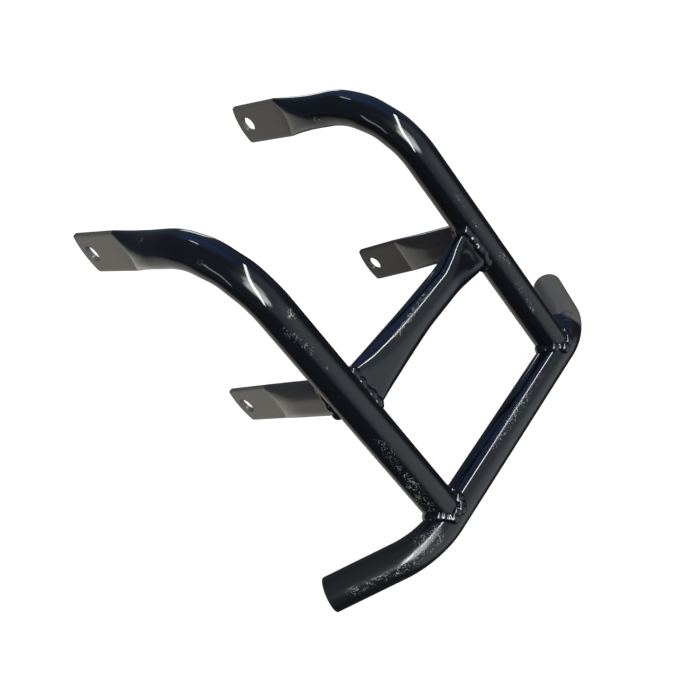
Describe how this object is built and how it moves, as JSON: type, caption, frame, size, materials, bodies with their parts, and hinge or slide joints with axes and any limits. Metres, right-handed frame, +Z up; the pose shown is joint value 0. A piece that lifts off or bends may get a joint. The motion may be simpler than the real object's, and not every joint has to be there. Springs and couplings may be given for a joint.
{
  "type": "atv front bumper",
  "caption": "Welded front bumper for a small quad bike: bent tube uprights pressed flat into bolt tabs, with lower stays, a cross tube and a bar with swept-back ends.",
  "frame": {"origin": "midway along the axis of the upper bolt holes", "axes": "+X across the vehicle along the upper bolt axis, towards its left side, +Y to its rear and +Z up"},
  "size_m": [0.3542, 0.2312, 0.2585],
  "materials": {
    "gloss_black_paint": "gloss"
  },
  "bodies": {
    "root": {"right_upright": "gloss_black_paint", "left_upright": "gloss_black_paint", "right_lower_stay": "gloss_black_paint", "left_lower_stay": "gloss_black_paint", "bumper_bar": "gloss_black_paint", "cross_tube": "gloss_black_paint", "right_foot_weld": "gloss_black_paint", "left_foot_weld": "gloss_black_paint", "right_cross_weld": "gloss_black_paint", "left_cross_weld": "gloss_black_paint", "right_stay_weld": "gloss_black_paint", "left_stay_weld": "gloss_black_paint"}
  },
  "joints": []
}
